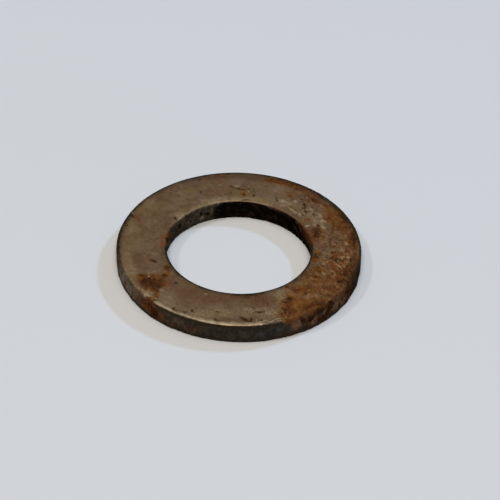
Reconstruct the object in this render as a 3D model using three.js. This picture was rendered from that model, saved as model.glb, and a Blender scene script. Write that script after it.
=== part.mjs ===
// A flat steel washer for an M24 bolt, coarse series: one ring stamped from 4 mm hot-rolled strip.
// The part frame is in millimetres, +Z up, with the origin at the centre of the underside.
//
// Stamping leaves the same four zones on the rim and on the bore. From the top face down they are
// a rounded die roll, a straight burnished wall, a fracture zone that leans into the metal, and a
// small worn edge where the burr was.
import * as THREE from "three";

// Driving dimensions
const OUTER_DIAMETER = 44;
const HOLE_DIAMETER = 26;
const THICKNESS = 4;

// Edge forms
const RIM_ROLL = 0.6; // radius of the die roll at the top of the rim
const BORE_ROLL = 0.5; // radius of the die roll at the top of the bore
const FRACTURE_START = 1.5; // height above the underside where the burnished wall ends
const RIM_FRACTURE_LEAN = 0.12; // how far the rim's fracture zone leans in at its foot
const BORE_FRACTURE_LEAN = 0.25; // how far the bore's fracture zone opens out at its foot
const FOOT_BREAK = 0.15; // width and height of the worn edge at the underside

// Facets
const STEPS_AROUND = 144;
const ROLL_STEPS = 4;

const STEEL = new THREE.MeshStandardMaterial({
  color: 0x5c4a36,
  roughness: 0.6,
  metalness: 0.5,
});

// One side of the ring's section as [distance into the metal from the wall, height] pairs, from
// the underside up to the top face.
function wallProfile(roll, lean) {
  const foot = [
    [lean + FOOT_BREAK, 0],
    [lean, FOOT_BREAK],
    [0, FRACTURE_START],
  ];
  const rollArc = Array.from({ length: ROLL_STEPS + 1 }, (_, step) => {
    const turn = ((Math.PI / 2) * step) / ROLL_STEPS;
    return [roll * (1 - Math.cos(turn)), THICKNESS - roll * (1 - Math.sin(turn))];
  });
  return [...foot, ...rollArc];
}

// The ring's closed section: up the rim, across the top face, down the bore and back underneath.
function ringSection() {
  const rim = wallProfile(RIM_ROLL, RIM_FRACTURE_LEAN).map(
    ([inset, height]) => new THREE.Vector2(OUTER_DIAMETER / 2 - inset, height),
  );
  const bore = wallProfile(BORE_ROLL, BORE_FRACTURE_LEAN).map(
    ([inset, height]) => new THREE.Vector2(HOLE_DIAMETER / 2 + inset, height),
  );
  return [...rim, ...bore.reverse(), rim[0].clone()];
}

// LatheGeometry turns its section round Y, so the ring is stood up to turn round Z.
function makeRing() {
  const geometry = new THREE.LatheGeometry(ringSection(), STEPS_AROUND);
  geometry.rotateX(Math.PI / 2);
  const ring = new THREE.Mesh(geometry, STEEL);
  ring.name = "washer_ring";
  return ring;
}

const washer = new THREE.Group();
washer.add(makeRing());

export default washer;
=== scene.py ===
"""A rusty flat steel washer on a pale floor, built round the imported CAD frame.

Blender's objects are in metres. The ring's surface is worked out in millimetres, because the marks on
it are small, and is scaled once, when its mesh is made.
"""
import math

import bpy
import numpy as np
from mathutils import Matrix, Vector, noise


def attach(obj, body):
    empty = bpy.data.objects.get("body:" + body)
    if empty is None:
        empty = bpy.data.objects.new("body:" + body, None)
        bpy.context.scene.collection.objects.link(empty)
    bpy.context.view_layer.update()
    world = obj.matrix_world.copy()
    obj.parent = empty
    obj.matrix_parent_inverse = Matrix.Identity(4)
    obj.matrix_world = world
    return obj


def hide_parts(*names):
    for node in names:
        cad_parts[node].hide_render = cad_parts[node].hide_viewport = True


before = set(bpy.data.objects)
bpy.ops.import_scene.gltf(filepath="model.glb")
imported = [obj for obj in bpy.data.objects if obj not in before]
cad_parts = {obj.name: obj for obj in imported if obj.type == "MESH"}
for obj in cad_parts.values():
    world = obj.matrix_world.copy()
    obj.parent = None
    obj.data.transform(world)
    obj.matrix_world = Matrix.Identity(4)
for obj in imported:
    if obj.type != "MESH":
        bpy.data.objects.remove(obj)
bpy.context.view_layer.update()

RING = "washer_ring"
MM = 0.001

# Sizes read from the CAD ring, in millimetres
RING_POINTS = [v.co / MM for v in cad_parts[RING].data.vertices]
RIM_RADIUS = max(math.hypot(p.x, p.y) for p in RING_POINTS)
BORE_RADIUS = min(math.hypot(p.x, p.y) for p in RING_POINTS)
THICKNESS = max(p.z for p in RING_POINTS)

# Edge forms, in millimetres
RIM_ROLL = 0.6
BORE_ROLL = 0.5
FRACTURE_START = 1.5
RIM_LEAN = 0.12
BORE_LEAN = 0.25
FOOT_BREAK = 0.15

# Mesh steps round the ring, and along each stretch of its section
STEPS_AROUND = 720
UNDERSIDE_STEPS = 26
FOOT_STEPS = 2
FRACTURE_STEPS = 8
RIM_WALL_STEPS = 11
RIM_ROLL_STEPS = 9
TOP_STEPS = 46
BORE_ROLL_STEPS = 8
BORE_WALL_STEPS = 12

# Relief, in millimetres
SWELL_DEPTH = 0.012
GRAIN_DEPTH = 0.004
RUST_STANDS = 0.010  # how far rust stands out before its own lumps and grain
RUST_LUMPS = 0.022
RUST_GRAIN = 0.008
WALL_CRUST_STANDS = 0.04
WALL_CRUST_DEPTH = 0.08
WALL_CRUST_LUMPS = 0.03
PIT_DEPTH = 0.05
FRACTURE_RIBS = 0.035
FRACTURE_TEARS = 0.08
FRACTURE_FADE = 0.3  # the height over which the fracture zone's relief comes in

# Marks
SEED = 4  # picks the pattern of the noise
WARPS = ((0.40, 1.5, 0.0), (0.16, 0.45, 7.3))  # how far each bends the marks, its size and its shift
MARK_REACH = 0.8  # how far a mark on one face carries round an edge, in millimetres
MARK_LIMIT = 1.4  # the strongest that marks can add up to
WORN_AND_HIGHLIGHT_DEPTH = 0.90  # how far in from an edge the worn metal and its painted highlight can reach, in millimetres
WORN_AND_HIGHLIGHT_FADE = 0.25

# Floor and lights, in metres
FLOOR_HALF = 0.6
LIGHT_DISTANCE = 2.0

# Camera, with its angles in degrees, its aim in metres, and its lens and sensor in millimetres
CAMERA_ELEVATION = 39.05
CAMERA_ROLL = 2.05
CAMERA_DIAMETERS = 13  # how many outer diameters away the camera is
CAMERA_AIM = (2.08 * MM, 2.42 * MM)  # the point aimed at, right of and above the ring's centre
CAMERA_LENS = 228.4
CAMERA_SENSOR = 36


def on_circle(radius, degrees):
    """The point on the top face at that radius and angle."""
    return radius * math.cos(math.radians(degrees)), radius * math.sin(math.radians(degrees))


def run_round(radius, width, depth, strength, angles):
    """Marks on the top face that follow one another round the ring."""
    return [(*on_circle(radius, at), width, depth, at + 90, strength) for at in angles]


# The marks on the top face. Each kind has its marks as (x, y, half-width, half-depth, lean, strength),
# in millimetres from the ring's centre, with the lean in degrees anticlockwise.
TOP_MARKS = {
    "rust": [
        # Right of the front
        (12.4, -16.4, 4.0, 2.6, 35, 1.4),
        (9.6, -18.2, 1.6, 1.3, 0, 1.2),
        (9.4, -14.2, 0.9, 2.4, 0, 1.0),
        (8.5, -16.4, 0.5, 2.0, 12, 0.8),
        (11.6, -11.6, 2.2, 1.6, 0, 1.0),
        (16.8, -11.6, 2.4, 3.0, -25, 1.1),
        (18.4, -8.0, 2.0, 3.0, 0, 1.2),
        (13.4, -8.4, 1.6, 1.6, 0, 0.8),
        (20.0, -7.6, 1.4, 3.0, -20, 0.9),
        # The right side
        (18.2, -3.2, 2.4, 2.4, 0, 0.85),
        (20.4, -1.0, 1.2, 3.4, 0, 0.6),
        (13.9, -2.3, 0.9, 1.4, 0, 1.0),
        (14.2, -5.6, 0.7, 0.6, 0, 1.0),
        (18.2, 1.4, 1.6, 1.4, 0, 0.4),
        (14.6, -5.2, 1.2, 1.4, 0, 0.5),
        (20.4, 4.4, 1.1, 3.0, 0, 1.1),
        (13.9, 4.2, 1.1, 2.1, 0, 1.3),
        (18.6, 8.0, 1.9, 3.0, 25, 1.3),
        (17.0, 10.8, 1.4, 1.8, 0, 1.2),
        (16.2, 8.5, 0.8, 0.5, 0, 0.8),
        # Right of the back
        (13.4, 14.2, 1.2, 0.8, -30, 1.0),
        (15.3, 12.8, 1.0, 0.5, -20, 0.8),
        (10.6, 17.3, 1.6, 0.9, -20, 1.1),
        (9.2, 18.6, 1.4, 0.5, -25, 0.4),
        (14.6, 15.2, 2.4, 0.5, -45, 0.2),
        (6.9, 19.4, 2.2, 0.9, -15, 1.3),
        (9.1, 15.4, 0.5, 1.2, 0, 0.9),
        (12.1, 8.3, 0.8, 0.7, 0, 0.7),
        (0.3, 15.4, 0.5, 0.8, 20, 0.9),
        (1.4, 15.2, 0.7, 0.4, 0, 0.5),
        # Left of the front
        (-15.2, -11.2, 1.8, 1.8, -15, 2.0),
        (-13.2, -11.0, 1.0, 0.9, 0, 0.5),
        (-12.6, -6.9, 0.7, 1.0, 10, 1.3),
        (-12.9, -9.0, 0.7, 0.6, 0, 1.1),
        (-17.1, -9.4, 0.7, 0.6, 0, 0.8),
        (-14.2, -13.9, 0.5, 1.6, 5, 1.1),
        (-15.4, -16.3, 0.9, 0.9, 30, 1.2),
        (-19.0, 7.7, 0.7, 0.8, 30, 0.45),
    ],
    "umber": [
        (9.3, -14.4, 0.6, 1.0, 0, 0.9),
        (8.6, -17.2, 0.6, 1.8, 15, 0.9),
        (14.2, -15.2, 1.4, 0.6, 25, 0.9),
        (12.8, -16.4, 0.7, 0.6, 0, 0.8),
        (18.3, -9.0, 0.9, 0.8, 0, 1.2),
        (18.2, -6.6, 0.7, 1.0, 0, 0.8),
        (15.8, -4.2, 0.9, 0.6, 0, 0.9),
        (18.7, -6.4, 0.5, 1.2, 0, 0.9),
        (16.2, -7.3, 0.7, 0.5, 0, 0.7),
        (15.9, -5.6, 0.4, 0.6, 0, 0.7),
        (16.8, -2.6, 1.1, 0.9, -20, 1.2),
        (13.8, -2.2, 0.8, 1.0, 0, 1.1),
        (14.1, -5.6, 0.5, 0.5, 0, 1.0),
        (20.3, -6.4, 0.5, 1.6, 0, 1.2),
        (15.8, -10.9, 1.2, 0.6, -15, 0.6),
        (17.2, -13.8, 1.0, 0.6, 35, 0.8),
        (14.1, 5.2, 0.4, 0.9, 0, 1.2),
        (13.7, 3.6, 0.7, 1.6, 0, 1.3),
        (18.6, 9.1, 0.5, 1.3, 38, 1.2),
        (16.3, 8.4, 0.7, 0.4, -15, 1.0),
        (17.3, 6.4, 0.4, 1.0, 15, 0.9),
        (20.3, 4.3, 0.5, 1.1, 0, 1.2),
        (19.6, 0.9, 0.5, 0.8, 0, 0.8),
        (21.0, 2.0, 0.6, 4.0, 5, 0.6),
        (19.4, 9.2, 0.9, 3.0, 27, 0.9),
        (18.0, 5.6, 1.2, 2.0, 0, 0.5),
        (20.6, -3.6, 0.8, 3.0, 0, 0.6),
        (17.4, 3.0, 1.0, 0.5, -20, 0.6),
        (13.4, 14.0, 0.9, 0.6, -20, 1.2),
        (15.4, 12.8, 0.9, 0.4, -20, 0.8),
        (10.4, 17.5, 0.9, 0.5, -15, 0.6),
        (5.6, 19.7, 0.5, 0.4, 0, 0.6),
        (-15.0, -11.2, 2.5, 2.0, -15, 1.25),
        (-12.6, -7.0, 0.7, 1.4, 0, 0.7),
        (-13.0, 0.8, 0.3, 2.2, 0, 1.0),
    ],
    "solid": [
        (-15.2, -11.2, 2.2, 2.0, -15, 1.3),
        (-12.6, -7.0, 0.9, 1.2, 0, 1.2),
        (-14.2, -14.0, 0.8, 1.4, 0, 0.8),
        (12.0, -16.4, 3.0, 1.8, 35, 0.9),
        (13.0, -8.4, 2.6, 2.2, 0, 0.7),
        (16.9, 10.4, 1.6, 2.2, 0, 0.7),
        (18.8, 7.4, 1.2, 2.0, 20, 0.8),
        (6.9, 19.4, 2.0, 0.9, -12, 1.0),
        (10.6, 17.2, 2.0, 1.2, -25, 0.8),
    ],
    "ochre": [
        (12.6, -17.6, 2.2, 0.9, 30, 0.7),
        (16.9, 10.9, 1.2, 1.6, 0, 0.7),
        (19.2, 7.0, 1.0, 1.6, 20, 0.5),
        (17.9, 8.4, 0.7, 0.9, 0, 0.6),
        (6.9, 19.4, 1.4, 0.6, -10, 0.5),
        (14.6, -7.4, 1.4, 1.6, 0, 0.8),
        (11.2, -9.2, 1.2, 1.0, 0, 0.7),
        (11.2, -15.0, 1.2, 1.0, 0, 0.5),
    ],
    "tan": [
        (13.5, -13.4, 2.2, 0.7, 0, 0.8),
        (15.9, -12.0, 1.5, 0.45, -20, 0.9),
        (14.0, -10.0, 1.2, 0.8, 0, 0.5),
        (10.0, -12.6, 1.2, 0.4, -30, 0.7),
        (17.7, -4.6, 0.4, 1.1, 25, 1.2),
        (18.8, -4.3, 0.4, 0.6, 20, 0.9),
        (18.9, -11.0, 0.7, 1.0, -20, 0.6),
        (15.6, -3.4, 0.6, 1.6, 0, 0.7),
        (17.0, -9.6, 1.4, 1.0, 0, 0.5),
        (17.4, 4.4, 1.6, 1.4, 0, 0.6),
        (15.4, 2.6, 1.2, 1.2, 0, 0.4),
        (19.4, 2.0, 0.35, 1.2, 25, 0.9),
        (17.2, 1.4, 0.4, 1.0, 20, 0.8),
        (18.4, 0.0, 0.9, 0.7, 0, 1.2),
        (19.8, -1.5, 0.6, 0.9, 0, 1.0),
        (10.6, 15.9, 1.2, 0.8, 0, 0.5),
        (-19.8, -5.4, 0.8, 3.0, 12, 0.6),
    ],
    "dark": [
        (18.2, -9.0, 0.5, 0.4, 0, 0.9),
        (17.4, -3.2, 0.5, 0.4, -30, 0.9),
        (16.4, -2.2, 0.4, 0.5, 0, 0.7),
        (14.1, 5.1, 0.35, 1.0, 0, 1.0),
        (18.5, 9.3, 0.3, 0.9, 38, 0.8),
        (20.4, 4.6, 0.35, 0.7, 0, 0.8),
        (13.3, 14.2, 0.5, 0.3, -20, 0.7),
        (11.7, 12.8, 0.5, 0.35, 0, 1.1),
        (9.2, -14.8, 0.3, 0.4, 0, 0.6),
        (14.4, -15.4, 0.7, 0.3, 25, 0.8),
        (-15.3, -16.9, 0.6, 0.6, 30, 1.0),
        (-19.7, 7.7, 0.3, 0.9, 35, 1.0),
        (-13.15, 1.5, 0.25, 0.9, 0, 0.9),
    ],
    "bright": [
        (-13.9, 1.5, 0.45, 1.1, 5, 1.1),
        (-13.75, -0.7, 0.45, 1.4, 0, 1.0),
        (-13.9, -2.5, 0.30, 0.8, 0, 0.6),
        (11.8, -11.5, 0.5, 1.0, 0, 0.9),
        (8.7, -19.0, 1.0, 0.5, 0, 0.6),
        (10.4, 17.6, 0.9, 0.5, -20, 0.5),
    ],
    "spot": [
        # The V-shaped pit at the front
        (1.2, -19.7, 0.26, 0.85, 42, 1.3),
        (1.8, -20.4, 0.36, 0.34, 0, 1.2),
        (2.6, -20.1, 0.28, 0.50, 0, 1.3),
        (2.2, -20.8, 0.45, 0.22, 0, 1.1),
        # The rest, from the left round the back
        (-15.15, -5.0, 0.40, 0.80, 35, 1.3),
        (-11.85, 7.2, 0.40, 0.60, 0, 1.3),
        (-7.6, 19.0, 0.50, 0.30, 0, 1.0),
        (-11.4, 14.1, 0.60, 0.50, 0, 0.7),
        (-7.5, 15.2, 0.25, 0.60, 0, 0.9),
        (-1.9, 15.7, 0.25, 0.60, 0, 1.1),
        (-1.7, 17.4, 0.60, 0.26, -38, 1.1),
        (-0.5, 16.7, 0.60, 0.24, -32, 1.1),
        (0.5, 16.3, 0.35, 0.28, 0, 1.0),
        (1.4, 16.6, 0.50, 0.24, 8, 1.1),
        (2.2, 14.9, 0.32, 0.40, 0, 1.2),
        (2.5, 16.0, 0.18, 0.40, 0, 0.7),
        (0.8, 13.5, 0.80, 0.25, 0, 1.1),
        (14.3, 6.8, 0.50, 0.40, 0, 1.1),
        (16.3, 1.6, 0.30, 0.60, 0, 0.7),
        (17.7, 1.0, 0.30, 0.60, 15, 0.6),
        (-20.4, 4.9, 0.35, 0.45, 0, 1.1),
        (-19.1, 2.7, 0.60, 0.45, 0, 0.5),
        (-10.9, -18.1, 0.55, 0.40, 0, 1.2),
        (-7.8, -18.2, 0.35, 0.50, 30, 1.1),
        (-9.1, -18.9, 0.65, 0.26, -20, 0.9),
        (-3.2, -18.5, 0.40, 0.40, 0, 0.8),
        (-3.5, -20.5, 0.45, 0.26, 0, 0.9),
        (-10.8, -10.9, 0.35, 0.50, 0, 0.9),
        (4.2, -18.2, 1.00, 0.35, 5, 1.1),
        (3.2, -16.7, 0.50, 0.35, -30, 1.0),
        (5.4, -16.4, 0.30, 1.10, 0, 0.8),
        (4.7, -20.3, 0.45, 0.25, 0, 0.9),
        (1.8, -14.2, 0.50, 0.50, -30, 0.8),
        (1.2, -15.5, 0.90, 0.45, 0, 0.6),
        (9.0, -10.9, 0.35, 0.40, 0, 1.3),
        (10.4, -11.8, 0.80, 0.30, 25, 0.9),
        (-14.3, -15.9, 0.35, 0.40, 0, 0.9),
        (17.9, -5.2, 0.25, 0.90, 25, 0.9),
        (6.5, 14.1, 0.25, 1.00, 5, 0.9),
    ],
    "fleck": [
        # The right end of the painted highlight along the rim at the front
        *run_round(21.15, 1.3, 0.17, 0.75, range(280, 293, 4)),
        # The rest
        (10.0, 13.8, 0.35, 0.50, 0, 1.2),
        (9.0, 13.1, 0.45, 0.38, 0, 1.0),
        (7.8, 13.6, 0.70, 0.45, 0, 0.9),
        (7.6, 12.4, 0.70, 0.35, 0, 0.7),
        (10.7, 10.3, 0.25, 0.90, 12, 1.0),
        (9.6, 10.8, 0.25, 1.10, 40, 1.1),
        (12.9, 11.6, 0.40, 0.80, 40, 0.8),
        (14.3, 9.7, 0.45, 0.80, 32, 0.7),
        (15.0, 8.0, 0.45, 0.60, 10, 0.8),
        (13.9, 8.0, 0.80, 0.35, 0, 0.7),
        (13.9, 6.9, 0.50, 0.30, -30, 0.9),
        (12.3, 6.6, 0.50, 0.35, 0, 0.8),
        (15.0, 6.3, 0.30, 0.50, 0, 0.7),
        (3.45, -20.3, 0.16, 0.80, 0, 0.9),
        (1.5, 15.8, 0.25, 0.60, 10, 0.8),
        (1.2, 17.4, 0.40, 0.30, 0, 0.7),
        (-1.0, 17.8, 0.80, 0.30, -10, 0.6),
        (-4.0, 17.6, 0.60, 0.30, 10, 0.6),
        (-19.6, 8.4, 0.30, 0.30, 0, 1.0),
        (18.3, -0.1, 0.60, 0.50, 0, 0.7),
        (18.8, -1.8, 0.30, 0.45, 0, 0.5),
        (19.9, -2.0, 0.35, 0.60, 0, 0.6),
        (18.0, -4.7, 0.30, 0.60, 25, 0.9),
        (19.2, 1.9, 0.25, 0.70, 25, 0.5),
        (-5.3, -13.6, 0.32, 0.28, 0, 0.8),
        (-15.6, -9.6, 0.38, 0.32, 0, 0.9),
        (-14.1, -15.5, 0.30, 0.28, 0, 1.0),
        (-15.8, -14.4, 0.80, 0.40, -40, 0.9),
    ],
    "pale": [
        # A painted highlight just inside the rolled edge at the front
        *run_round(21.25, 1.7, 0.24, 1.1, range(252, 292, 8)),
        # The rest, from the right round the front and the left
        (12.6, 10.4, 1.9, 2.2, 20, 0.6),
        (14.6, 7.6, 1.0, 2.4, 15, 0.6),
        (8.0, 13.2, 2.2, 1.3, 0, 0.7),
        (6.6, 16.6, 1.6, 1.6, 0, 0.4),
        (15.6, 3.6, 1.2, 2.4, 0, 0.4),
        (15.5, -1.0, 1.2, 1.6, 0, 0.5),
        (15.0, -4.0, 0.8, 1.4, 0, 0.4),
        (7.5, -13.2, 1.3, 2.2, 15, 0.9),
        (6.2, -17.9, 1.8, 1.2, 0, 0.5),
        (2.0, -17.4, 2.2, 0.8, 0, 0.5),
        (4.8, -17.8, 1.8, 1.6, 10, 0.6),
        (1.6, -18.6, 1.6, 0.9, 0, 0.4),
        (19.6, -2.0, 1.0, 2.6, 0, 0.5),
        (-12.2, -15.1, 2.0, 1.6, -20, 0.4),
        (-16.2, -13.6, 1.6, 0.7, -48, 1.0),
        (-18.6, -7.6, 0.8, 1.6, 15, 0.8),
        (-15.0, -8.2, 1.2, 0.7, 0, 0.7),
        (-13.2, -13.2, 0.9, 0.4, -40, 0.7),
        # This one widens the start of the painted highlight at the front onto the top face
        (-11.2, -17.4, 3.2, 1.1, -33, 0.5),
        (-4.0, -18.9, 3.8, 1.3, 5, 0.75),
        (-5.0, 13.2, 3.0, 0.7, 12, 0.7),
        (-16.6, 12.0, 1.0, 0.6, 40, 0.6),
        (-11.2, 8.6, 0.8, 0.6, 0, 0.8),
        (-20.0, -4.4, 0.9, 3.2, 10, 0.35),
        (-19.6, 3.0, 0.8, 3.0, 0, 0.3),
        (1.0, 13.9, 3.4, 0.5, 0, 0.8),
        (4.6, 13.2, 1.6, 0.5, -20, 0.8),
    ],
    "lilac": [
        (-12.1, -14.2, 2.2, 2.4, 0, 0.5),
        (-10.7, -11.8, 0.8, 0.6, 0, 0.8),
        (3.7, 15.3, 1.5, 1.2, 0, 0.7),
        (7.2, 16.6, 1.6, 1.8, 0, 0.5),
        (-9.0, 18.1, 1.8, 0.9, 25, 0.8),
        (-12.1, 11.9, 1.0, 1.4, 0, 0.7),
        (-1.4, 19.0, 1.6, 1.4, 0, 0.7),
        (-8.0, 14.6, 0.9, 1.4, 0, 0.7),
        (1.5, 19.4, 3.4, 1.2, 0, 0.4),
        (12.8, 15.2, 1.2, 1.2, -40, 1.0),
        (15.0, 13.6, 1.4, 0.7, -40, 0.8),
        (-14.2, -4.6, 1.2, 3.0, 0, 0.3),
        (-17.6, -1.0, 1.2, 1.0, 0, 0.4),
    ],
    "olive": [
        (-8.7, 15.9, 1.3, 1.0, 0, 0.8),
        (0.6, 15.2, 2.0, 1.2, 0, 0.8),
        (12.6, 10.0, 1.8, 1.8, 0, 0.3),
        (9.7, 11.5, 0.9, 0.8, 0, 0.9),
        (11.9, 10.6, 1.0, 1.2, 0, 0.4),
        (4.7, 13.2, 1.4, 0.5, -15, 0.9),
        (4.9, 16.2, 1.0, 0.6, 0, 0.7),
        (-20.2, 5.6, 0.7, 1.4, 0, 1.0),
        (-18.0, 9.8, 0.8, 1.2, 0, 0.9),
        (-15.6, 10.0, 2.0, 2.2, 0, 0.4),
        (-12.8, -5.6, 0.7, 0.8, 0, 1.1),
        (7.0, -14.6, 1.2, 1.2, 0, 0.7),
        (1.4, -15.5, 1.4, 0.6, 0, 0.7),
        (-3.6, -18.8, 2.4, 1.0, 0, 0.5),
        (14.9, -5.8, 0.8, 1.2, 0, 0.9),
        (-19.4, -0.6, 1.4, 3.0, 0, 0.6),
        (-17.4, 3.2, 1.8, 2.6, 0, 0.3),
        (-19.0, -10.4, 0.7, 1.4, 20, 1.0),
        (-17.0, -14.6, 0.9, 0.6, -40, 0.8),
        (8.6, 16.8, 0.6, 0.7, 0, 0.9),
        (12.1, 16.8, 0.8, 0.5, -30, 0.9),
    ],
    "ruddy": [
        (1.7, -13.9, 2.6, 0.8, 0, 1.0),
        (2.0, -20.2, 1.1, 0.6, 0, 1.2),
        (-1.5, -20.4, 1.6, 0.5, 0, 0.8),
        (-3.0, -14.6, 3.4, 1.4, 10, 0.8),
        (-8.4, -13.4, 2.8, 2.0, -30, 0.7),
        (-11.6, -10.8, 1.2, 2.4, 30, 0.6),
        (-5.0, 15.6, 2.4, 0.9, 15, 0.4),
        (12.9, 15.2, 1.6, 1.6, -40, 1.3),
        (-18.2, -5.2, 0.8, 2.4, 12, 0.5),
        (-8.0, 17.2, 2.4, 0.7, 25, 0.5),
        (-2.4, 20.2, 3.0, 0.6, 5, 0.5),
        (-14.6, 13.0, 1.2, 1.2, 0, 0.5),
        (-18.6, 7.0, 0.6, 1.2, 30, 1.0),
        (4.6, -14.8, 2.6, 1.4, 15, 1.0),
        (4.4, -17.6, 2.6, 1.4, 10, 0.3),
        (15.2, 1.6, 1.6, 3.6, 0, 0.8),
        (16.8, 5.0, 1.4, 2.0, 0, 1.1),
        (13.4, 12.0, 1.6, 1.0, -45, 0.7),
        (15.6, 9.0, 1.0, 1.4, 30, 0.6),
        (13.2, -7.0, 1.6, 2.6, -20, 0.9),
        (14.8, 15.4, 3.0, 1.0, -45, 1.2),
        (9.6, 18.8, 2.6, 0.8, -25, 1.0),
        (18.4, 10.8, 0.9, 3.0, 30, 1.0),
        (16.6, 12.6, 1.4, 1.4, 0, 0.8),
        (9.6, 15.8, 2.0, 1.6, -25, 0.5),
        (3.6, 20.2, 3.4, 1.2, -10, 1.0),
        (-5.0, 19.9, 3.4, 0.9, 14, 0.8),
        (-14.4, -8.4, 2.4, 1.8, 0, 0.5),
        (-17.2, -11.6, 1.2, 2.2, 20, 0.6),
    ],
    "polish": [
        # Worn metal just inside the rolled edge at the front, brightened into a painted highlight
        *run_round(21.3, 1.8, 0.20, 0.5, range(252, 280, 6)),
    ],
    "slate": [
        # A grey band along the back of the rim: painted sheen
        (-13.8, 16.3, 3.2, 0.5, 40, 1.1),
        (-8.4, 19.6, 3.6, 0.5, 23, 1.1),
        (-1.0, 21.2, 4.2, 0.4, 3, 0.9),
        (6.4, 20.4, 3.0, 0.4, -18, 0.6),
    ],
    "shade": [
        *run_round(20.4, 2.6, 0.9, 0.8, range(-65, 125, 12)),
        # Painted shade just inside the painted highlight at the front
        *run_round(20.90, 1.8, 0.22, 0.60, range(236, 284, 6)),
    ],
    "mottle": [
        (17.6, 0.6, 4.0, 7.0, 0, 1.35),
        (14.0, -9.0, 4.5, 5.0, 0, 1.1),
        (12.0, 12.4, 4.6, 4.6, 0, 1.25),
        (-13.8, -11.2, 3.2, 4.2, 0, 0.35),
        (1.0, 15.8, 2.6, 1.4, 0, 0.8),
        (4.4, -17.2, 3.6, 3.0, 0, 0.85),
        (-6.0, -16.6, 6.0, 3.0, 0, 0.4),
    ],
}

# The marks on the underside, in the same form.
UNDER_MARKS = {
    "rust": [
        (15.0, 8.0, 4.0, 3.0, 30, 1.2),
        (-6.0, 16.5, 5.0, 1.8, 15, 1.1),
        (-17.0, -4.0, 2.0, 4.5, 0, 1.0),
        (4.0, -17.5, 6.0, 2.0, -10, 1.2),
        (17.5, -6.0, 1.5, 3.0, 20, 0.9),
    ],
    "umber": [
        (15.5, 9.0, 2.0, 1.6, 30, 1.0),
        (3.0, -18.0, 2.4, 1.2, 0, 1.0),
        (-17.4, -3.0, 1.2, 2.0, 0, 0.8),
    ],
    "pale": [
        (-12.0, 11.0, 3.0, 2.0, 40, 0.7),
        (-10.0, -13.0, 3.5, 2.0, -40, 0.7),
    ],
    "ruddy": [
        (9.0, 14.0, 4.0, 2.0, -35, 0.8),
        (-14.0, 4.0, 2.0, 4.0, 0, 0.8),
    ],
    "mottle": [
        (15.0, 6.0, 5.0, 6.0, 0, 1.0),
        (4.0, -17.0, 7.0, 4.0, 0, 1.0),
        (-8.0, 15.0, 6.0, 4.0, 0, 0.8),
    ],
}

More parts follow.
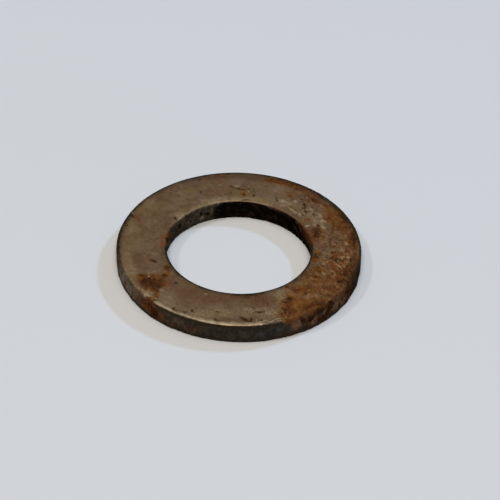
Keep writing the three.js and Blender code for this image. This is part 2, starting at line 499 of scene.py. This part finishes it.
# The marks on the rim and the bore, as (angle in degrees, height, half-length, half-height, strength),
# in millimetres along and up the wall.
RIM_MARKS = {
    "grime": [
        # Dark bands along the rim's top edge and its foot: partly real grime, partly painted shade where
        # the edge turns away from the light and along the foot
        *((at, 3.9, 5.0, 0.8, 1.7) for at in range(20, 80, 12)),
        *((at, 3.9, 5.0, 0.7, 1.1) for at in range(80, 190, 12)),
        *((at, 3.55, 5.0, 0.30, 1.0) for at in range(234, 294, 12)),
        *((at, 0.3, 5.0, 0.6, 0.7) for at in range(216, 350, 12)),
        (305, 3.7, 2.4, 0.5, 0.8),
        (332, 3.7, 5.0, 0.5, 0.9),
        (348, 3.8, 4.0, 0.8, 1.0),
    ],
    "dark": [
        (225, 3.2, 0.5, 0.8, 0.5),
        (229, 1.6, 0.9, 1.4, 1.1),
        (246, 0.9, 1.0, 0.5, 0.6),
        (262, 0.8, 1.2, 0.4, 0.6),
        (301.5, 3.0, 0.6, 0.9, 1.2),
        (306, 2.6, 1.3, 0.8, 1.1),
        (311.5, 3.3, 1.0, 0.7, 1.1),
        (318, 2.9, 1.4, 1.0, 1.4),
        (314, 1.3, 1.4, 0.6, 1.2),
        (304, 1.0, 1.2, 0.5, 1.0),
        (326, 1.5, 1.0, 0.7, 0.9),
        (332, 3.0, 0.8, 0.8, 1.0),
        (340, 2.2, 1.6, 2.0, 1.2),
        (347, 2.8, 1.4, 1.6, 0.9),
    ],
    "rust": [
        (226, 2.6, 1.6, 1.4, 1.0),
        (298, 3.3, 0.9, 0.8, 1.0),
        (310, 2.2, 1.0, 1.4, 0.4),
        (323, 3.5, 1.6, 0.5, 0.8),
        (335, 2.0, 2.0, 1.6, 0.8),
        (60, 2.4, 5.0, 1.2, 0.8),
        (110, 2.0, 4.0, 1.4, 0.7),
        (20, 2.4, 4.0, 1.4, 0.9),
    ],
    "umber": [
        (226, 2.2, 1.8, 1.6, 1.3),
        (60, 2.4, 5.0, 1.6, 0.7),
        (110, 2.0, 4.0, 1.6, 0.7),
        (20, 2.4, 4.0, 1.6, 0.5),
        (335, 2.0, 2.4, 1.8, 1.0),
        (310, 2.2, 2.4, 1.6, 0.4),
    ],
    "mottle": [
        (312, 2.2, 5.0, 2.4, 1.2),
        (330, 2.2, 5.0, 2.4, 1.2),
        (226, 2.0, 2.6, 2.4, 1.2),
        (244, 1.8, 4.0, 2.0, 0.4),
    ],
    "ruddy": [
        (219, 2.0, 2.4, 1.6, 1.0),
        (232, 1.6, 1.6, 1.4, 0.9),
        (235, 1.4, 2.0, 1.0, 0.7),
        (248, 1.8, 1.6, 0.8, 0.9),
        (304, 1.4, 3.0, 1.4, 0.6),
        (322, 1.8, 3.0, 1.6, 0.7),
    ],
    "polish": [
        # Worn metal on the rolled edge at the front, brightened into a painted highlight
        (231, 4.0, 1.0, 1.0, 1.2),
        (236, 4.0, 2.0, 1.0, 1.0),
        (246, 4.0, 3.4, 1.0, 0.9),
        (260, 4.0, 3.6, 1.0, 1.4),
        (273, 4.0, 3.2, 1.0, 1.3),
        (283, 4.0, 2.6, 1.0, 0.75),
        (290, 4.0, 1.4, 1.0, 0.35),
    ],
    "pale": [
        (198, 2.6, 5.0, 2.4, 1.0),
        (212, 3.4, 3.8, 1.4, 1.3),
        (213, 1.4, 3.4, 1.2, 0.9),
        (223, 3.8, 1.6, 0.6, 0.8),
        (240, 2.4, 2.0, 0.8, 0.4),
    ],
    "tan": [
        (299, 2.4, 0.9, 1.1, 1.4),
        (304.0, 3.2, 0.5, 0.6, 1.4),
        (309.0, 1.8, 0.7, 0.8, 1.4),
        (314.5, 2.4, 0.5, 0.8, 1.4),
        (323, 2.4, 1.3, 1.1, 1.4),
        (328, 1.6, 0.9, 0.9, 1.2),
        (340, 3.0, 1.0, 0.8, 0.8),
        (229, 3.3, 0.4, 0.4, 0.7),
    ],
    "slate": [
        (290, 2.6, 1.8, 1.4, 0.45),
        (283, 1.6, 1.4, 1.0, 0.5),
        (270, 0.6, 6.0, 0.5, 0.6),
        (346, 2.4, 2.0, 1.6, 0.5),
    ],
}
BORE_MARKS = {
    "grime": [
        # Dark bands along the bore's rolled edge, most at the front where it faces away: painted shade
        *((at, 3.7, 2.6, 0.6, 1.2) for at in range(195, 305, 10)),
        *((at, 3.7, 2.6, 0.6, 0.8) for at in range(305, 355, 10)),
        (5, 3.7, 1.6, 0.5, 0.8),
        (160, 3.6, 1.6, 0.5, 0.8),
    ],
    "black": [
        # Near-black on the back of the bore: dark scale deepened by painted shade
        (105, 1.8, 1.8, 1.9, 1.4),
        (92, 2.0, 2.2, 2.6, 1.4),
        (78, 2.0, 2.4, 2.6, 1.4),
        (66, 1.5, 1.4, 1.6, 1.3),
        (55, 1.8, 2.0, 2.2, 1.4),
        (42, 2.0, 1.8, 2.2, 1.2),
        (33, 1.2, 1.8, 1.4, 1.2),
        (22, 0.8, 2.2, 1.0, 1.1),
        (13, 0.8, 1.6, 1.0, 0.8),
        (118, 1.9, 0.5, 0.4, 0.7),
        (122.5, 2.5, 0.6, 0.45, 0.8),
        (147, 2.7, 0.6, 0.7, 0.9),
    ],
    "dark": [
        (153, 2.0, 0.6, 0.8, 0.8),
        (137, 3.5, 1.2, 0.35, 0.9),
        (64, 3.5, 0.4, 0.5, 0.5),
        (36, 3.4, 1.2, 0.6, 0.9),
        (27, 2.8, 1.4, 0.9, 1.0),
        (16, 2.2, 1.4, 0.9, 0.9),
    ],
    "rust": [
        (85, 1.2, 1.0, 0.5, 0.5),
        (26, 3.6, 2.2, 0.5, 0.3),
        (12, 3.2, 2.2, 1.0, 0.3),
        (172, 3.4, 1.6, 0.9, 0.9),
        (167, 2.6, 0.8, 1.0, 0.8),
        (240, 2.2, 5.0, 1.4, 0.7),
        (300, 2.2, 4.0, 1.4, 0.8),
    ],
    "umber": [
        (26, 3.6, 2.6, 0.8, 0.9),
        (12, 3.0, 2.0, 1.2, 0.5),
        (172, 3.4, 1.6, 0.9, 0.4),
    ],
    "mottle": [
        (135, 2.0, 6.0, 2.4, 1.2),
        (50, 2.4, 3.0, 1.6, 0.8),
        (15, 2.4, 3.0, 1.6, 1.0),
    ],
    "polish": [
        # Worn metal on the bore's rolled edge at the back, brightened into a painted highlight
        (146, 4.0, 1.0, 1.0, 0.9),
    ],
    "pale": [
        # The first six, along the bore's rolled edge at the back, are a painted highlight; the rest are
        # pale specks on the wall
        (146, 3.9, 1.6, 0.5, 1.2),
        (130, 3.9, 2.6, 0.4, 1.0),
        (116, 3.9, 2.0, 0.4, 0.8),
        (104, 3.9, 2.0, 0.4, 0.5),
        (90, 3.95, 2.4, 0.3, 0.3),
        (71, 3.95, 2.4, 0.3, 0.5),
        (122, 1.6, 0.5, 0.4, 1.2),
        (128, 3.0, 1.2, 0.7, 0.5),
        (134, 1.8, 1.6, 0.9, 0.4),
        (142, 2.6, 0.8, 0.7, 0.4),
        (115, 2.6, 0.5, 0.9, 0.7),
        (51, 2.5, 0.5, 0.6, 0.6),
    ],
    "ruddy": [
        (62, 3.5, 0.8, 0.7, 1.3),
        (50, 2.7, 0.5, 0.5, 1.3),
        (36, 3.4, 1.4, 0.6, 1.2),
        (24, 3.0, 2.4, 1.0, 1.3),
    ],
    "olive": [
        (146, 3.0, 1.6, 1.2, 1.0),
        (158, 2.4, 2.0, 1.4, 0.8),
        (125, 3.4, 2.4, 0.6, 0.7),
    ],
}


# ---- The ring's surface ----


def stretch(start, end, steps):
    """Points from start up to, but not including, end."""
    shares = np.arange(steps) / steps
    return [(start[0] + (end[0] - start[0]) * s, start[1] + (end[1] - start[1]) * s) for s in shares]


def roll_arc(centre, radius, start_deg, end_deg, steps):
    """Points on a die roll's arc, up to but not including its end."""
    angles = np.radians(start_deg + (end_deg - start_deg) * np.arange(steps) / steps)
    return [(centre[0] + radius * math.cos(a), centre[1] + radius * math.sin(a)) for a in angles]


def section():
    """The ring's closed section as (radius, height) in millimetres, from the underside round the rim."""
    rim_foot = RIM_RADIUS - RIM_LEAN
    bore_foot = BORE_RADIUS + BORE_LEAN
    rim_roll = (RIM_RADIUS - RIM_ROLL, THICKNESS - RIM_ROLL)
    bore_roll = (BORE_RADIUS + BORE_ROLL, THICKNESS - BORE_ROLL)
    points = stretch((bore_foot + FOOT_BREAK, 0), (rim_foot - FOOT_BREAK, 0), UNDERSIDE_STEPS)
    points += stretch((rim_foot - FOOT_BREAK, 0), (rim_foot, FOOT_BREAK), FOOT_STEPS)
    points += stretch((rim_foot, FOOT_BREAK), (RIM_RADIUS, FRACTURE_START), FRACTURE_STEPS)
    points += stretch((RIM_RADIUS, FRACTURE_START), (RIM_RADIUS, rim_roll[1]), RIM_WALL_STEPS)
    points += roll_arc(rim_roll, RIM_ROLL, 0, 90, RIM_ROLL_STEPS)
    points += stretch((rim_roll[0], THICKNESS), (bore_roll[0], THICKNESS), TOP_STEPS)
    points += roll_arc(bore_roll, BORE_ROLL, 90, 180, BORE_ROLL_STEPS)
    points += stretch((BORE_RADIUS, bore_roll[1]), (BORE_RADIUS, FRACTURE_START), BORE_WALL_STEPS)
    points += stretch((BORE_RADIUS, FRACTURE_START), (bore_foot, FOOT_BREAK), FRACTURE_STEPS)
    points += stretch((bore_foot, FOOT_BREAK), (bore_foot + FOOT_BREAK, 0), FOOT_STEPS)
    return np.array(points)


def section_normals(points):
    """Outward unit normals of the closed section."""
    along = np.roll(points, -1, 0) - np.roll(points, 1, 0)
    normals = np.stack([along[:, 1], -along[:, 0]], 1)
    return normals / np.linalg.norm(normals, axis=1)[:, None]


def noise_at(points, size, octaves, shift):
    """Fractal noise, mostly between -1 and 1, with features of about that size in millimetres."""
    places = points / size + shift
    return np.array([noise.fractal(Vector(p), 0.9, 2.1, octaves) for p in places])


def warp_at(points, size, shift):
    """A noise vector at each point."""
    return np.array([noise.noise_vector(Vector(p)) for p in points / size + shift])


class Surface:
    """Every vertex of the ring before relief: where it is, which way it faces and the marks on it."""

    def __init__(self):
        profile = section()
        facing = section_normals(profile)
        angle = np.arange(STEPS_AROUND) * 2 * math.pi / STEPS_AROUND
        self.rows = len(profile)
        self.angle = np.repeat(angle, self.rows)
        self.radius, self.height = (np.tile(profile[:, i], STEPS_AROUND) for i in (0, 1))
        self.out, self.up = (np.tile(facing[:, i], STEPS_AROUND) for i in (0, 1))
        self.points = self.turned(self.radius, self.height)
        self.normals = self.turned(self.out, self.up)
        self.bent = self.points
        for reach, size, shift in WARPS:
            self.bent = self.bent + reach * warp_at(self.points, size, shift)
        self.bent_radius = np.hypot(self.bent[:, 0], self.bent[:, 1])
        self.bent_angle = np.arctan2(self.bent[:, 1], self.bent[:, 0])

    def turned(self, radial, vertical):
        """A vector at each vertex from its part away from the axis and its part along it."""
        return np.stack([radial * np.cos(self.angle), radial * np.sin(self.angle), vertical], 1)

    def marks(self, kind):
        """How strongly each point lies under the marks of that kind, from 0 to MARK_LIMIT."""
        bent = self.bent
        total = np.zeros(len(bent))
        for face_marks, face_height in ((TOP_MARKS, THICKNESS), (UNDER_MARKS, 0)):
            for x, y, width, depth, lean, strength in face_marks.get(kind, ()):
                aside = (bent[:, 0] - x, bent[:, 1] - y, bent[:, 2] - face_height)
                total += strength * soft_blob(*aside, width, depth, lean)
        for wall_marks, wall_radius in ((RIM_MARKS, RIM_RADIUS), (BORE_MARKS, BORE_RADIUS)):
            for at, height, length, tall, strength in wall_marks.get(kind, ()):
                turn = (self.bent_angle - math.radians(at) + math.pi) % (2 * math.pi) - math.pi
                aside = (turn * wall_radius, bent[:, 2] - height, self.bent_radius - wall_radius)
                total += strength * soft_blob(*aside, length, tall, 0)
        return np.clip(total, 0, MARK_LIMIT)


def soft_blob(across, along, off, width, depth, lean):
    """A leaning oval that is 1 at its centre and fades out, off the surface too."""
    c, s = math.cos(math.radians(lean)), math.sin(math.radians(lean))
    u = (across * c + along * s) / width
    v = (along * c - across * s) / depth
    w = off / MARK_REACH
    return np.exp(-(u * u + v * v + w * w))


def ring_marks(surface):
    """Each kind of mark at every point, and how far the point belongs to a wall."""
    kinds = sorted({*TOP_MARKS, *RIM_MARKS, *BORE_MARKS})
    marks = {kind: surface.marks(kind) for kind in kinds}
    is_wall = np.abs(surface.out)
    from_edge = np.minimum(RIM_RADIUS - surface.radius, surface.radius - BORE_RADIUS)
    facing_up = np.clip((surface.up - 0.50) / 0.35, 0, 1)
    near_edge = np.clip((WORN_AND_HIGHLIGHT_DEPTH - from_edge) / WORN_AND_HIGHLIGHT_FADE, 0, 1)
    # The bore's black, dark scale with painted shade, stays on the walls
    marks["black"] = marks["black"] * np.clip((is_wall - 0.5) / 0.3, 0, 1)
    # The worn metal and its painted highlight stay on upward faces near an edge
    marks["polish"] = marks["polish"] * (facing_up * near_edge)
    # The grime marks, with their painted shade, also pull the walls' darker colour up over the rolled
    # edges
    marks["wall"] = np.clip(is_wall * (1 + 4 * marks["grime"]), 0, 1)
    return marks


def relief(surface, marks):
    """How far each point stands out along its normal, in millimetres."""
    p = surface.points
    is_wall = np.abs(surface.out)
    lumps = noise_at(p, size=0.9, octaves=4, shift=3.1)
    grain = noise_at(p, size=0.3, octaves=2, shift=11.7)
    swell = noise_at(p, size=7.0, octaves=2, shift=5.5)
    crust = noise_at(p, size=1.5, octaves=3, shift=17.3)
    rusty = np.clip(marks["rust"] + marks["dark"] + marks["bright"], 0, 1)
    height = SWELL_DEPTH * swell + GRAIN_DEPTH * grain
    height += rusty * (RUST_STANDS + RUST_LUMPS * lumps + RUST_GRAIN * grain)
    wall_crust = WALL_CRUST_STANDS + WALL_CRUST_DEPTH * crust + WALL_CRUST_LUMPS * lumps
    height += np.clip(marks["mottle"], 0, 1) * is_wall * wall_crust
    height -= PIT_DEPTH * np.clip(marks["spot"], 0, 1)
    in_fracture = np.clip((FRACTURE_START - surface.height) / FRACTURE_FADE, 0, 1) * is_wall
    ribs = noise_at(p * np.array([1, 1, 0.12]), size=0.5, octaves=3, shift=21.0)
    torn = noise_at(p, size=2.2, octaves=2, shift=31.0)
    height += in_fracture * (FRACTURE_RIBS * ribs + FRACTURE_TEARS * torn)
    return height


def ring_mesh(surface, marks):
    """The ring as one closed grid of quads, with each kind of mark kept as an attribute."""
    placed = surface.points + surface.normals * relief(surface, marks)[:, None]
    here = np.arange(len(placed)).reshape(STEPS_AROUND, surface.rows)
    ahead = np.roll(here, -1, 0)
    quads = np.stack([here, ahead, np.roll(ahead, -1, 1), np.roll(here, -1, 1)], -1).reshape(-1, 4)
    mesh = bpy.data.meshes.new("washer")
    mesh.from_pydata((placed * MM).tolist(), [], quads.tolist())
    mesh.shade_smooth()
    for name, values in marks.items():
        attribute = mesh.attributes.new(name, "FLOAT", "POINT")
        attribute.data.foreach_set("value", values.astype(np.float32))
    mesh.update()
    return mesh


# ---- Node graphs ----


def srgb(red, green, blue):
    """A linear RGBA colour from 0 to 255 sRGB values."""
    share = [c / 255 for c in (red, green, blue)]
    linear = [c / 12.92 if c <= 0.04045 else ((c + 0.055) / 1.055) ** 2.4 for c in share]
    return (*linear, 1.0)


class Graph:
    """The node tree of a material or a world, with short ways to add the nodes used here."""

    def __init__(self, owner):
        owner.use_nodes = True
        self.owner = owner
        self.tree = owner.node_tree
        self.tree.nodes.clear()

    def add(self, kind, inputs=(), **settings):
        """A new node, with each input set to a value or linked to a socket."""
        node = self.tree.nodes.new("ShaderNode" + kind)
        for key, value in settings.items():
            setattr(node, key, value)
        for key, value in dict(inputs).items():
            if isinstance(value, bpy.types.NodeSocket):
                self.tree.links.new(value, node.inputs[key])
            else:
                node.inputs[key].default_value = value
        return node

    def math(self, operation, a, b=0.0, clamp=False):
        return self.add("Math", {0: a, 1: b}, operation=operation, use_clamp=clamp).outputs[0]

    def times(self, a, b, clamp=False):
        return self.math("MULTIPLY", a, b, clamp)

    def plus(self, a, b, clamp=False):
        return self.math("ADD", a, b, clamp)

    def vector(self, operation, inputs):
        return self.add("VectorMath", inputs, operation=operation).outputs[0]

    def step(self, value, low, high, start=0.0, end=1.0):
        """Goes smoothly from start to end while the value goes from low to high."""
        sockets = {"Value": value, "From Min": low, "From Max": high, "To Min": start, "To Max": end}
        return self.add("MapRange", sockets, interpolation_type="SMOOTHSTEP").outputs["Result"]

    def mix(self, share, a, b):
        return self.add("Mix", {0: share, 6: a, 7: b}, data_type="RGBA").outputs[2]

    def blend(self, share, a, b):
        return self.add("Mix", {0: share, 2: a, 3: b}, data_type="FLOAT").outputs[0]

    def noise(self, where, scale, detail=2.0, roughness=0.6):
        sockets = {"Vector": where, "Scale": scale, "Detail": detail, "Roughness": roughness}
        return self.add("TexNoise", sockets).outputs[0]

    def ramp(self, value, stops):
        """Colours at rising values, blended in between. Each stop is a value and a linear colour."""
        node = self.add("ValToRGB", {0: value})
        elements = node.color_ramp.elements
        elements.remove(elements[1])
        elements[0].position, elements[0].color = stops[0]
        for position, colour in stops[1:]:
            elements.new(position).color = colour
        return node.outputs[0]

    def total(self, *terms):
        """The sum of values, each multiplied by its share."""
        parts = [self.times(value, share) for value, share in terms]
        whole = parts[0]
        for part in parts[1:]:
            whole = self.plus(whole, part)
        return whole

    def mark(self, kind):
        return self.add("Attribute", attribute_name=kind).outputs["Fac"]


# ---- The steel ----

# Tints of the faces: the kind of mark, its strength and its colour.
FACE_TINTS = (
    # pale also paints the highlight along the rim's front edge
    ("pale", 0.9, srgb(160, 136, 104)),
    ("lilac", 0.9, srgb(134, 108, 92)),
    ("olive", 0.9, srgb(130, 109, 68)),
    ("ruddy", 0.9, srgb(112, 78, 54)),
    # The grey tint on the faces is the painted sheen along the back of the rim
    ("slate", 0.8, srgb(98, 92, 76)),
)

# Tints of the walls: the kind of mark, its strength and its colours where the wall is dark and light.
WALL_TINTS = (
    # pale also carries the painted highlight along the bore's rolled edge at the back
    ("pale", 0.8, srgb(88, 77, 64), srgb(128, 112, 96)),
    ("ruddy", 0.8, srgb(58, 38, 28), srgb(108, 72, 50)),
    ("olive", 0.8, srgb(48, 44, 32), srgb(70, 66, 48)),
    ("slate", 0.8, srgb(44, 47, 46), srgb(66, 72, 73)),
)

RUST_BROWNS = (
    (0.66, srgb(52, 25, 10)),
    (0.76, srgb(80, 42, 14)),
    (0.86, srgb(105, 63, 22)),
    (0.96, srgb(122, 80, 36)),
    (1.00, srgb(132, 93, 50)),
)


class Steel(Graph):
    """Hot-rolled steel gone brown: a mottled patina, rust in several browns, metal worn bright, and
    painted highlights and painted shade along its edges and in the bore.
    """

    def __init__(self):
        super().__init__(bpy.data.materials.new("rusty_steel"))
        self.make_noise()
        self.wall = self.step(self.mark("wall"), 0.45, 0.85)
        self.flat = self.math("SUBTRACT", 1.0, self.wall)
        self.rust = self.mask("rust", 0.0, 0.65, 0.9)
        self.dark = self.mask("dark", 0.25, 0.95, 1.4)
        self.bright = self.mask("bright", 0.25, 0.9, 1.4)
        # Worn metal brightened into a painted highlight
        self.polish = self.mask("polish", 0.2, 1.0, 0.4)
        # Dark scale deepened by painted shade in the bore
        self.black = self.mask("black", 0.35, 0.75, 0.5)
        self.colour = self.patina()
        self.lay(self.wall, self.wall_colour())
        self.lay(self.times(self.rust, 0.92), self.rust_colour())
        self.lay_stains()
        self.lay_mottle()
        self.lay_damage()
        self.finish()

    def make_noise(self):
        """The noise that the colours and the edges of marks are drawn from, in millimetres."""
        where = self.vector("SCALE", {0: self.add("TexCoord").outputs["Object"], "Scale": 1 / MM})
        turn = {"Vector": where, "Angle": math.radians(60)}
        turned = self.add("VectorRotate", turn, rotation_type="Z_AXIS").outputs[0]
        drawn = self.vector("MULTIPLY", {0: turned, 1: (0.45, 1.0, 1.0)})
        upright = self.vector("MULTIPLY", {0: where, 1: (1.0, 1.0, 0.6)})
        moved = self.vector("ADD", {0: where, 1: (31.0, 17.0, 5.0)})
        self.broad = self.noise(where, scale=0.30)
        self.mid = self.noise(where, scale=0.8)
        self.small = self.noise(where, scale=1.9)
        self.fine = self.noise(where, scale=5.0)
        self.speck = self.noise(where, scale=1.8, detail=1)
        self.streak = self.noise(drawn, scale=1.7, detail=4, roughness=0.75)
        self.run = self.noise(upright, scale=1.3)
        self.hue = self.noise(moved, scale=0.45)
        ragged = self.total((self.mid, 1.6), (self.small, 1.4), (self.fine, 0.6))
        self.ragged = self.math("SUBTRACT", ragged, 1.8)

    def mask(self, kind, low, high, raggedness=1.0):
        """Where marks of that kind are, with frayed edges."""
        near = self.times(self.mark(kind), 3.0, clamp=True)
        frayed = self.times(self.times(self.ragged, raggedness), near)
        return self.step(self.plus(self.mark(kind), frayed), low, high)

    def tint(self, kind, amount):
        """Where marks of that kind are, with soft and slightly uneven edges."""
        field = self.times(self.mark(kind), self.step(self.mid, 0.25, 0.75, 0.5, 1.5))
        return self.times(field, amount, clamp=True)

    def lay(self, share, colour):
        """Lays a colour over the ones so far."""
        self.colour = self.mix(share, self.colour, colour)

    def face_or_wall(self, on_face, on_wall):
        return self.mix(self.wall, on_face, on_wall)

    def patina(self):
        """The faces' brown, lighter and darker in patches, with their tints."""
        tone = self.step(self.total((self.broad, 0.5), (self.mid, 0.5), (self.small, 0.6)), 0.64, 0.96)
        colour = self.mix(tone, srgb(110, 86, 61), srgb(138, 114, 86))
        colour = self.mix(self.step(self.hue, 0.50, 0.68, 0, 0.5), colour, srgb(122, 86, 62))
        colour = self.mix(self.step(self.hue, 0.50, 0.32, 0, 0.35), colour, srgb(128, 102, 72))
        for kind, amount, shade in FACE_TINTS:
            colour = self.mix(self.tint(kind, amount), colour, shade)
        return colour

    def wall_colour(self):
        """The rim's and the bore's colour: darker than the faces, with their own tints."""
        tone = self.step(self.total((self.run, 0.5), (self.mid, 0.3), (self.small, 0.4)), 0.48, 0.74)
        colour = self.mix(tone, srgb(41, 37, 30), srgb(62, 56, 47))
        for kind, amount, shadow, shade in WALL_TINTS:
            colour = self.mix(self.tint(kind, amount), colour, self.mix(tone, shadow, shade))
        return colour

    def rust_colour(self):
        """Several browns, calmer where the rust is solid, under veils of red and tan where it is loose."""
        solid = self.mark("solid")
        uneven = self.total((self.mid, 1.0), (self.small, 0.5), (self.fine, 0.2))
        calm = self.plus(self.times(uneven, 0.3), 0.58)
        tone = self.blend(solid, uneven, calm)
        brown = self.total((tone, 1.0), (self.mark("ochre"), 0.14), (self.mark("umber"), -0.14))
        colour = self.ramp(brown, RUST_BROWNS)
        loose = self.math("SUBTRACT", 1.0, solid, clamp=True)
        red_veil = self.step(self.hue, 0.48, 0.62, 0, 0.6)
        tan_veil = self.step(self.total((self.run, 0.5), (self.small, 0.5)), 0.54, 0.66, 0, 0.5)
        colour = self.mix(self.times(red_veil, loose), colour, srgb(112, 60, 30))
        return self.mix(self.times(tan_veil, loose), colour, srgb(132, 96, 66))

    def lay_stains(self):
        """Tan rust in streaks, and the shaded band along the rim."""
        tanned = self.times(self.mark("tan"), self.step(self.streak, 0.35, 0.60, 0.2, 1.1), clamp=True)
        self.lay(tanned, self.face_or_wall(srgb(140, 104, 70), srgb(112, 84, 66)))
        self.lay(self.times(self.mark("shade"), 0.22), srgb(30, 22, 14))

    def lay_mottle(self):
        """Dark and light speckle where the surface is rough, and pale flecks on pale metal."""
        mottle = self.mark("mottle")
        patches = self.total((self.mid, 0.3), (self.small, 0.5), (self.fine, 0.3))
        darker = self.times(mottle, self.step(patches, 0.56, 0.65, 0, 0.85), clamp=True)
        lighter = self.times(mottle, self.step(self.streak, 0.52, 0.68, 0, 0.7), clamp=True)
        flecked = self.times(self.mark("pale"), self.step(self.speck, 0.52, 0.66, 0, 0.5), clamp=True)
        specked = self.times(mottle, self.step(self.speck, 0.42, 0.34, 0, 0.5), clamp=True)
        self.lay(darker, self.face_or_wall(srgb(74, 40, 17), srgb(22, 12, 6)))
        self.lay(lighter, self.face_or_wall(srgb(158, 130, 96), srgb(96, 74, 56)))
        self.lay(self.times(flecked, self.flat), srgb(176, 154, 122))
        self.lay(self.times(specked, self.flat), srgb(74, 48, 26))

    def lay_damage(self):
        """Dark and bright rust, flecks, pits, grime with painted shade, worn metal with a painted
        highlight, and the black crust in the bore with painted shade.
        """
        deepest = self.face_or_wall(srgb(42, 20, 8), srgb(12, 7, 4))
        deep = self.mix(self.step(self.fine, 0.3, 0.7), deepest, srgb(66, 34, 16))
        self.lay(self.times(self.dark, 0.88), deep)
        self.lay(self.times(self.bright, 0.75), self.mix(self.small, srgb(84, 40, 16), srgb(132, 76, 42)))
        self.lay(self.times(self.mask("fleck", 0.15, 1.0), 0.75), srgb(184, 160, 124))
        self.lay(self.times(self.mask("spot", 0.2, 0.85, 0.8), 0.85), srgb(64, 38, 18))
        # Dark bands along the rolled edges and the rim's foot: painted shade, with some real grime
        grime = self.times(self.mark("grime"), self.step(self.mid, 0.3, 0.7, 0.4, 0.8), clamp=True)
        self.lay(grime, srgb(46, 39, 28))
        # The worn metal's colour, light enough to be a painted highlight
        worn_and_highlight = self.mix(self.step(self.mid, 0.35, 0.65), srgb(148, 130, 105), srgb(180, 161, 134))
        self.lay(self.times(self.polish, 0.9), worn_and_highlight)
        # The bore's black: dark scale deepened by painted shade
        black_tone = self.step(self.total((self.mid, 0.6), (self.small, 0.4)), 0.46, 0.70)
        self.lay(self.black, self.mix(black_tone, srgb(11, 9, 8), srgb(42, 30, 22)))

    def finish(self):
        """The shader: half-metallic patina, matt crust and walls, smoother worn metal under the painted
        highlight, and fine grit.
        """
        crust = self.plus(self.plus(self.rust, self.dark), self.plus(self.bright, self.black), clamp=True)
        matt = self.math("MAXIMUM", crust, self.wall)
        metallic = self.blend(self.polish, self.blend(matt, 0.4, 0.0), 0.5)
        roughness = self.blend(self.polish, self.blend(matt, 0.50, 0.85), 0.45)
        coarse_share, fine_share = self.blend(crust, 0.4, 1.0), self.blend(crust, 0.3, 0.8)
        grit = self.total((self.small, coarse_share), (self.fine, fine_share))
        bump = self.add("Bump", {"Height": grit, "Distance": 0.04 * MM, "Strength": 0.6}).outputs[0]
        sockets = {"Base Color": self.colour, "Metallic": metallic, "Roughness": roughness, "Normal": bump}
        shader = self.add("BsdfPrincipled", sockets)
        shader.inputs["Specular IOR Level"].default_value = 0.0
        self.add("OutputMaterial", {"Surface": shader.outputs[0]})


# ---- The washer ----


def place(name, data):
    """A new object in the scene."""
    placed = bpy.data.objects.new(name, data)
    bpy.context.scene.collection.objects.link(placed)
    return placed


def make_washer():
    noise.seed_set(SEED)
    surface = Surface()
    mesh = ring_mesh(surface, ring_marks(surface))
    mesh.materials.append(Steel().owner)
    washer = place("washer", mesh)
    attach(washer, "root")
    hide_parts(RING)


# ---- Floor, lights and camera ----


def make_floor():
    half = FLOOR_HALF
    mesh = bpy.data.meshes.new("floor")
    corners = [(-half, -half, 0), (half, -half, 0), (half, half, 0), (-half, half, 0)]
    mesh.from_pydata(corners, [], [(0, 1, 2, 3)])
    g = Graph(bpy.data.materials.new("floor_paper"))
    shader = g.add("BsdfPrincipled", {"Base Color": srgb(228, 230, 233), "Roughness": 0.9})
    shader.inputs["Specular IOR Level"].default_value = 0.2
    g.add("OutputMaterial", {"Surface": shader.outputs[0]})
    mesh.materials.append(g.owner)
    floor = place("floor", mesh)


def make_world():
    """A soft dome, bright straight overhead and dim elsewhere, with a plain pale backdrop."""
    g = Graph(bpy.data.worlds.new("studio"))
    bpy.context.scene.world = g.owner
    direction = g.add("TexCoord").outputs["Generated"]
    height = g.add("SeparateXYZ", {0: direction}).outputs[2]
    dim, dusk, overhead = (0.06, 0.06, 0.06, 1), (0.10, 0.10, 0.10, 1), (2.60, 2.53, 2.42, 1)
    dome = g.ramp(height, ((0.0, dim), (0.92, dusk), (1.0, overhead)))
    seen = g.add("LightPath").outputs["Is Camera Ray"]
    background = g.add("Background", {0: g.mix(seen, dome, srgb(192, 196, 201))})
    g.add("OutputWorld", {0: background.outputs[0]})


def make_light(name, toward, size, power, colour):
    """A square area light that shines at the washer from that direction."""
    data = bpy.data.lights.new(name, "AREA")
    data.size = size
    data.energy = power
    data.color = colour
    direction = Vector(toward).normalized()
    light = place(name, data)
    light.location = direction * LIGHT_DISTANCE
    light.rotation_euler = direction.to_track_quat("Z", "Y").to_euler()


def make_lights():
    make_light("window", (3.6, 2.8, 4.0), 0.16, 10.5, (0.366, 0.628, 1.0))
    make_light("lamp", (-2.4, -0.6, 4.0), 0.14, 4.6, (1.0, 0.95, 0.96))
    make_light("front", (0.0, -3.0, 4.0), 0.80, 18.5, (1.0, 0.93, 0.82))


def make_camera():
    """The camera looks down at the washer from its front, far off, and rolled slightly."""
    elevation, roll = math.radians(CAMERA_ELEVATION), math.radians(CAMERA_ROLL)
    distance = CAMERA_DIAMETERS * 2 * RIM_RADIUS * MM
    forward = Vector((0, math.cos(elevation), -math.sin(elevation)))
    level_right = Vector((1, 0, 0))
    level_up = Vector((0, math.sin(elevation), math.cos(elevation)))
    right = math.cos(roll) * level_right + math.sin(roll) * level_up
    up = math.cos(roll) * level_up - math.sin(roll) * level_right
    data = bpy.data.cameras.new("camera")
    data.lens = CAMERA_LENS
    data.sensor_width = CAMERA_SENSOR
    camera = place("camera", data)
    spot = right * CAMERA_AIM[0] + up * CAMERA_AIM[1] - forward * distance
    axes = Matrix((right, up, -forward)).transposed()
    camera.matrix_world = Matrix.Translation(spot) @ axes.to_4x4()
    bpy.context.scene.camera = camera


make_washer()
make_floor()
make_world()
make_lights()
make_camera()
bpy.context.scene.view_settings.view_transform = "Standard"
